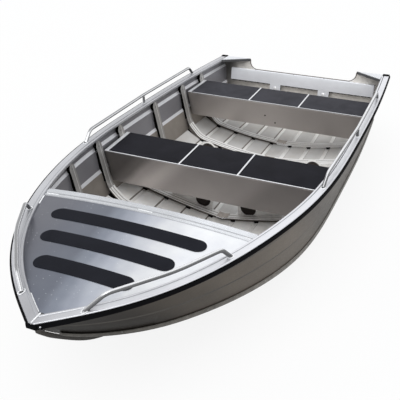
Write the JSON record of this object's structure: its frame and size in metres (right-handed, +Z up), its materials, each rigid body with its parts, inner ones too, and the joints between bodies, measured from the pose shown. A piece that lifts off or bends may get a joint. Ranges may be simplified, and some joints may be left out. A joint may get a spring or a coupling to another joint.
{
  "type": "aluminium fishing dinghy",
  "caption": "Open V-bottom fishing dinghy of pressed sheet aluminium with foredeck, two box thwarts, ring frames, wide gunwales, grab rails and a notched transom.",
  "frame": {"origin": "middle of the bounding box, on the floor under the keel bar's flat foot", "axes": "+X to the bow, +Y to port, +Z up"},
  "size_m": [3.7, 1.6162, 0.7502],
  "materials": {
    "plate_aluminium": "bare mill-finish sheet, lightly brushed",
    "extruded_aluminium": "bare extrusion, satin",
    "frame_aluminium": "bare folded channel, satin",
    "round_bar_aluminium": "bare round bar, polished",
    "beam_aluminium": "bare folded sheet, bluish",
    "black_rubber": "matt black",
    "grip_foam": "closed-cell non-skid sheet, fine grain",
    "pad_plastic": "moulded, satin",
    "bright_steel": "stainless"
  },
  "bodies": {
    "root": {"hull_bottom_port": "plate_aluminium", "hull_side_port": "plate_aluminium", "transom_knee_port": "plate_aluminium", "chine_bar_port": "extruded_aluminium", "gunwale_port": "extruded_aluminium", "rub_strip_port": "black_rubber", "bow_rail_port": "round_bar_aluminium", "side_rail_port": "round_bar_aluminium", "hull_bottom_starboard": "plate_aluminium", "hull_side_starboard": "plate_aluminium", "transom_knee_starboard": "plate_aluminium", "chine_bar_starboard": "extruded_aluminium", "gunwale_starboard": "extruded_aluminium", "rub_strip_starboard": "black_rubber", "bow_rail_starboard": "round_bar_aluminium", "side_rail_starboard": "round_bar_aluminium", "keel_bar": "extruded_aluminium", "stem_bar": "extruded_aluminium", "bottom_runners": "extruded_aluminium", "foredeck_edge_tube": "extruded_aluminium", "frame_1": "frame_aluminium", "frame_2": "frame_aluminium", "frame_3": "frame_aluminium", "frame_4": "frame_aluminium", "frame_5": "frame_aluminium", "frame_6": "frame_aluminium", "foredeck": "plate_aluminium", "front_thwart_box": "plate_aluminium", "front_thwart_top": "plate_aluminium", "aft_thwart_box": "plate_aluminium", "aft_thwart_top": "plate_aluminium", "front_bearers": "plate_aluminium", "aft_bearers": "plate_aluminium", "transom_plate": "plate_aluminium", "transom_beam": "beam_aluminium", "deck_grips": "grip_foam", "front_thwart_pads": "grip_foam", "aft_thwart_pads": "grip_foam", "front_thwart_trim": "extruded_aluminium", "aft_thwart_trim": "extruded_aluminium", "bow_cap": "black_rubber", "stern_caps": "black_rubber", "motor_pad": "pad_plastic", "bow_eye": "bright_steel", "drain_bung": "pad_plastic"}
  },
  "joints": []
}
